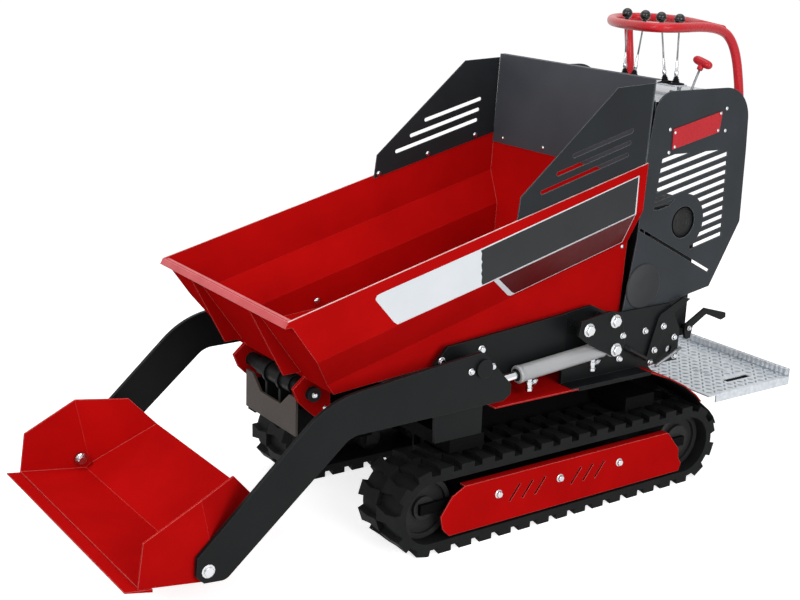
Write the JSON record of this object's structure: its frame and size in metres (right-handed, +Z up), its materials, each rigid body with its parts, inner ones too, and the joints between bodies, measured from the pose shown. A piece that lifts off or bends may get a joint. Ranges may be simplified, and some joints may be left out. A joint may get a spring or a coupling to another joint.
{
  "type": "tracked mini dumper with self-loading shovel",
  "caption": "Walk-behind tracked dumper: rubber tracks, a skip that tips forward, a front loading shovel on lift arms, a control tower and a folding stand-on platform.",
  "frame": {"origin": "on the ground under the middle of the machine, between the shovel lip and the rear edge of the platform", "axes": "+X forward to the shovel, +Y to the left, +Z up"},
  "size_m": [2.438, 0.844, 1.448],
  "materials": {
    "red_paint": "gloss",
    "black_paint": "satin",
    "grey_paint": "satin",
    "rubber": "matte",
    "cast_iron": "matte",
    "bright_steel": "satin",
    "zinc_plate": "satin"
  },
  "bodies": {
    "chassis": {"arm_brackets": "black_paint", "chassis_frame": "black_paint", "cheek_plates": "black_paint", "console": "black_paint", "engine_block": "cast_iron", "fenders": "red_paint", "front_plate": "grey_paint", "guard_left": "red_paint", "guard_right": "red_paint", "handle": "red_paint", "idlers": "cast_iron", "latch_post": "black_paint", "levers": "bright_steel", "platform_brackets": "black_paint", "rear_brackets": "black_paint", "rollers": "cast_iron", "sprockets": "cast_iron", "struts": "black_paint", "throttle_handle": "red_paint", "tip_clevis": "black_paint", "tip_tube": "black_paint", "tower_badges": "red_paint", "tower_floor": "black_paint", "tower_front": "black_paint", "tower_rear": "black_paint", "tower_side_left": "black_paint", "tower_side_right": "black_paint", "track_frame_left": "black_paint", "track_frame_right": "black_paint", "track_left": "rubber", "track_right": "rubber"},
    "skip": {"skip_tub": "red_paint", "wing_left": "black_paint", "wing_right": "black_paint", "spill_back": "black_paint"},
    "arms": {"arm_left": "black_paint", "arm_right": "black_paint"},
    "shovel": {"shovel": "red_paint", "shovel_lip": "red_paint"},
    "lift_barrels": {"lift_barrels": "bright_steel"},
    "lift_rods": {"lift_rods": "bright_steel"},
    "tip_barrel": {"tip_barrel": "bright_steel"},
    "tip_rod": {"tip_rod": "bright_steel"},
    "platform": {"platform": "zinc_plate"},
    "latch": {"latch_hook": "black_paint"}
  },
  "joints": [
    {"name": "skip_tip", "type": "hinge", "parent": "chassis", "child": "skip", "pos_m": [0.572, 0, 0.452], "axis": [0, 1, 0], "range_deg": [0, 75]},
    {"name": "arm_lift", "type": "hinge", "parent": "chassis", "child": "arms", "pos_m": [0.181, 0, 0.531], "axis": [0, 1, 0], "range_deg": [-115, 7.5]},
    {"name": "shovel_tilt", "type": "hinge", "parent": "arms", "child": "shovel", "pos_m": [1.006, 0, 0.15], "axis": [0, 1, 0], "range_deg": [-30, 0]},
    {"name": "platform_fold", "type": "hinge", "parent": "chassis", "child": "platform", "pos_m": [-0.765, 0, 0.24], "axis": [0, 1, 0], "range_deg": [0, 75]},
    {"name": "latch_swing", "type": "hinge", "parent": "chassis", "child": "latch", "pos_m": [-0.778, 0.255, 0.461], "axis": [0, 1, 0], "range_deg": [0, 20]},
    {"name": "lift_swing", "type": "hinge", "parent": "chassis", "child": "lift_barrels", "pos_m": [-0.313, 0, 0.504], "axis": [0, 1, 0], "range_deg": [-5, 1]},
    {"name": "lift_stroke", "type": "slide", "parent": "lift_barrels", "child": "lift_rods", "axis": [0.9967, 0, -0.0808], "range_m": [-0.012, 0.15]},
    {"name": "tip_swing", "type": "hinge", "parent": "chassis", "child": "tip_barrel", "pos_m": [-0.06, 0, 0.34], "axis": [0, 1, 0], "range_deg": [-15, 0]},
    {"name": "tip_stroke", "type": "slide", "parent": "tip_barrel", "child": "tip_rod", "axis": [0.9779, 0, 0.2093], "range_m": [0, 0.14]}
  ],
  "couplings": [
    {"joint": "lift_swing", "follows": "arm_lift", "ratio": 0.03766},
    {"joint": "lift_stroke", "follows": "arm_lift", "m_per_rad": -0.07125},
    {"joint": "tip_swing", "follows": "skip_tip", "ratio": -0.13075},
    {"joint": "tip_stroke", "follows": "skip_tip", "m_per_rad": 0.09759}
  ]
}
